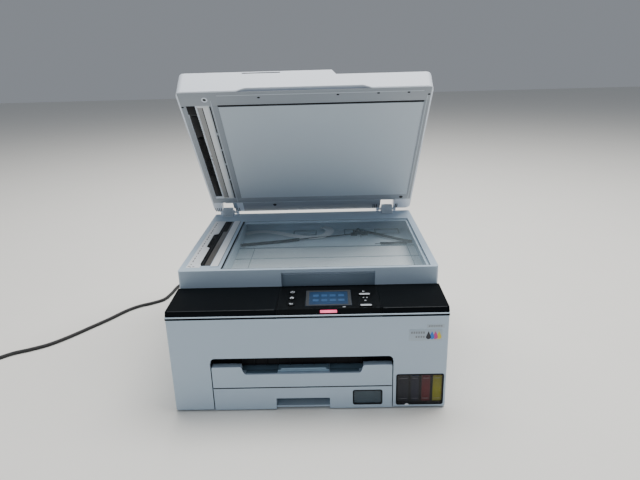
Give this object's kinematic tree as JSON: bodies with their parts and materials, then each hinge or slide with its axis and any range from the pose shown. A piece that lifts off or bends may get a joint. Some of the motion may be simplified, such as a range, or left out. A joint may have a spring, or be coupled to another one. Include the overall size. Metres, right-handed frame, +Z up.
{
  "type": "inkjet printer",
  "caption": "All-in-one ink-tank printer with a raised document-feeder lid, flatbed glass, tilting touch panel, paper cassette, output tray and mains lead.",
  "frame": {"origin": "on the supporting surface, under the middle of the casing", "axes": "+X to the right seen from the front, +Y to the back, +Z up"},
  "size_m": [0.8385, 0.4851, 0.4457],
  "materials": {
    "case_white": "fine texture",
    "light_grey_plastic": "fine texture",
    "mid_grey_plastic": "satin",
    "black_plastic": "satin",
    "dark_plastic": "satin",
    "rubber": "matt",
    "steel": "plain sheet",
    "clear_glass": "polished",
    "smoke_plastic": "clear smoked",
    "pad_white": "smooth sheet on foam",
    "circuit_board": "solder mask",
    "screen": "gloss",
    "light_pink": "lit diffuser",
    "ink_black": "translucent, filled",
    "ink_cyan": "translucent, filled",
    "ink_magenta": "translucent, filled",
    "ink_yellow": "translucent, filled"
  },
  "bodies": {
    "base": {"lower_casing": "case_white", "foot_front_left": "rubber", "foot_front_right": "rubber", "foot_rear_left": "rubber", "foot_rear_right": "rubber", "ink_window": "smoke_plastic", "ink_tank_black": "ink_black", "ink_tank_cyan": "ink_cyan", "ink_tank_magenta": "ink_magenta", "ink_tank_yellow": "ink_yellow", "print_chassis": "dark_plastic", "rail_frame": "steel", "guide_rod": "steel", "platen": "dark_plastic", "maintenance_unit": "mid_grey_plastic", "main_board": "circuit_board", "power_supply": "steel", "power_inlet": "black_plastic", "lead_connector": "rubber", "mains_lead": "rubber", "lead_coil": "rubber", "mains_plug": "rubber"},
    "upper_unit": {"top_deck": "black_plastic", "scanner_housing": "case_white", "scanner_glass": "clear_glass", "feeder_glass_strip": "black_plastic", "lid_hinge_left": "light_grey_plastic", "lid_hinge_right": "light_grey_plastic"},
    "panel": {"operation_panel": "black_plastic", "touch_screen": "screen", "status_light": "light_pink"},
    "lid": {"lid_shell": "case_white", "lid_pad": "pad_white", "feeder_backing": "pad_white", "feeder_guide": "black_plastic"},
    "key_power": {"key_power": "black_plastic"},
    "key_home": {"key_home": "black_plastic"},
    "key_back": {"key_back": "black_plastic"},
    "key_start": {"key_start": "black_plastic"},
    "key_stop": {"key_stop": "black_plastic"},
    "tank_cap_black": {"tank_cap_black": "ink_black"},
    "tank_cap_cyan": {"tank_cap_cyan": "ink_cyan"},
    "tank_cap_magenta": {"tank_cap_magenta": "ink_magenta"},
    "tank_cap_yellow": {"tank_cap_yellow": "ink_yellow"},
    "rear_cover": {"rear_cover": "mid_grey_plastic"},
    "feed_roller": {"feed_roller": "rubber"},
    "eject_roller": {"eject_roller": "rubber"},
    "pickup_roller": {"pickup_roller": "rubber"},
    "print_carriage": {"print_carriage": "dark_plastic"},
    "paper_cassette": {"paper_cassette": "case_white"},
    "paper_guide_left": {"paper_guide_left": "light_grey_plastic"},
    "paper_guide_right": {"paper_guide_right": "light_grey_plastic"},
    "output_tray": {"output_tray": "case_white"},
    "output_extension": {"output_extension": "light_grey_plastic"},
    "scan_bar": {"scan_bar": "dark_plastic"},
    "feeder_cover": {"feeder_cover": "case_white"},
    "document_tray": {"document_tray": "case_white"},
    "document_guide_front": {"document_guide_front": "mid_grey_plastic"},
    "document_guide_rear": {"document_guide_rear": "mid_grey_plastic"},
    "feeder_roller": {"feeder_roller": "rubber"}
  },
  "joints": [
    {"name": "upper_unit_hinge", "type": "hinge", "parent": "base", "child": "upper_unit", "pos_m": [0, 0.185, 0.14135], "axis": [-1, 0, 0], "range_deg": [0, 30]},
    {"name": "lid_hinge", "type": "hinge", "parent": "upper_unit", "child": "lid", "pos_m": [0, 0.184, 0.1825], "axis": [-1, 0, 0], "range_deg": [-49.6, 20.4]},
    {"name": "panel_tilt", "type": "hinge", "parent": "upper_unit", "child": "panel", "pos_m": [0, -0.117, 0.1512], "axis": [-1, 0, 0], "range_deg": [0, 40]},
    {"name": "key_power_press", "type": "slide", "parent": "panel", "child": "key_power", "axis": [0, 0, -1], "range_m": [0, 0.0008], "stiffness_N_per_m": 400, "springref_m": -0.0006},
    {"name": "key_home_press", "type": "slide", "parent": "panel", "child": "key_home", "axis": [0, 0, -1], "range_m": [0, 0.0008], "stiffness_N_per_m": 400, "springref_m": -0.0006},
    {"name": "key_back_press", "type": "slide", "parent": "panel", "child": "key_back", "axis": [0, 0, -1], "range_m": [0, 0.0008], "stiffness_N_per_m": 400, "springref_m": -0.0006},
    {"name": "key_start_press", "type": "slide", "parent": "panel", "child": "key_start", "axis": [0, 0, -1], "range_m": [0, 0.0008], "stiffness_N_per_m": 400, "springref_m": -0.0006},
    {"name": "key_stop_press", "type": "slide", "parent": "panel", "child": "key_stop", "axis": [0, 0, -1], "range_m": [0, 0.0008], "stiffness_N_per_m": 400, "springref_m": -0.0006},
    {"name": "tank_cap_black_hinge", "type": "hinge", "parent": "base", "child": "tank_cap_black", "pos_m": [0.129, -0.124, 0.0943], "axis": [-1, 0, 0], "range_deg": [0, 65]},
    {"name": "tank_cap_cyan_hinge", "type": "hinge", "parent": "base", "child": "tank_cap_cyan", "pos_m": [0.1449, -0.124, 0.0943], "axis": [-1, 0, 0], "range_deg": [0, 65]},
    {"name": "tank_cap_magenta_hinge", "type": "hinge", "parent": "base", "child": "tank_cap_magenta", "pos_m": [0.1597, -0.124, 0.0943], "axis": [-1, 0, 0], "range_deg": [0, 65]},
    {"name": "tank_cap_yellow_hinge", "type": "hinge", "parent": "base", "child": "tank_cap_yellow", "pos_m": [0.175, -0.124, 0.0943], "axis": [-1, 0, 0], "range_deg": [0, 65]},
    {"name": "rear_cover_slide", "type": "slide", "parent": "base", "child": "rear_cover", "axis": [0, 1, 0], "range_m": [0, 0.08]},
    {"name": "feed_roller_spin", "type": "hinge", "parent": "base", "child": "feed_roller", "pos_m": [0, 0.0525, 0.083], "axis": [1, 0, 0], "continuous": true},
    {"name": "eject_roller_spin", "type": "hinge", "parent": "base", "child": "eject_roller", "pos_m": [0, -0.034, 0.0805], "axis": [1, 0, 0], "continuous": true},
    {"name": "pickup_roller_spin", "type": "hinge", "parent": "base", "child": "pickup_roller", "pos_m": [0, 0.092, 0.046], "axis": [1, 0, 0], "continuous": true},
    {"name": "carriage_slide", "type": "slide", "parent": "base", "child": "print_carriage", "axis": [-1, 0, 0], "range_m": [0, 0.28]},
    {"name": "cassette_slide", "type": "slide", "parent": "base", "child": "paper_cassette", "axis": [0, -1, 0], "range_m": [0, 0.25]},
    {"name": "paper_guide_left_slide", "type": "slide", "parent": "paper_cassette", "child": "paper_guide_left", "axis": [1, 0, 0], "range_m": [0, 0.05]},
    {"name": "paper_guide_right_slide", "type": "slide", "parent": "paper_cassette", "child": "paper_guide_right", "axis": [1, 0, 0], "range_m": [-0.05, 0]},
    {"name": "output_tray_slide", "type": "slide", "parent": "base", "child": "output_tray", "axis": [0, -1, 0], "range_m": [0, 0.1]},
    {"name": "output_extension_slide", "type": "slide", "parent": "output_tray", "child": "output_extension", "axis": [0, -1, 0], "range_m": [0, 0.12]},
    {"name": "scan_bar_slide", "type": "slide", "parent": "upper_unit", "child": "scan_bar", "axis": [1, 0, 0], "range_m": [0, 0.32]},
    {"name": "feeder_cover_hinge", "type": "hinge", "parent": "lid", "child": "feeder_cover", "pos_m": [-0.1785, 0.09826, 0.33539], "axis": [0, -0.6481, 0.7615], "range_deg": [0, 80]},
    {"name": "document_tray_hinge", "type": "hinge", "parent": "lid", "child": "document_tray", "pos_m": [0.034, 0.09956, 0.33649], "axis": [0, 0.6481, -0.7615], "range_deg": [0, 130]},
    {"name": "document_guide_front_slide", "type": "slide", "parent": "lid", "child": "document_guide_front", "axis": [0, 0.6481, -0.7615], "range_m": [0, 0.05]},
    {"name": "document_guide_rear_slide", "type": "slide", "parent": "lid", "child": "document_guide_rear", "axis": [0, 0.6481, -0.7615], "range_m": [-0.05, 0]},
    {"name": "feeder_roller_spin", "type": "hinge", "parent": "lid", "child": "feeder_roller", "pos_m": [-0.118, 0.08737, 0.32612], "axis": [0, 0.6481, -0.7615], "continuous": true}
  ],
  "couplings": [
    {"joint": "eject_roller_spin", "follows": "feed_roller_spin", "ratio": 1.2},
    {"joint": "pickup_roller_spin", "follows": "feed_roller_spin", "ratio": 0.54546},
    {"joint": "paper_guide_right_slide", "follows": "paper_guide_left_slide", "ratio": -1},
    {"joint": "document_guide_rear_slide", "follows": "document_guide_front_slide", "ratio": -1}
  ]
}
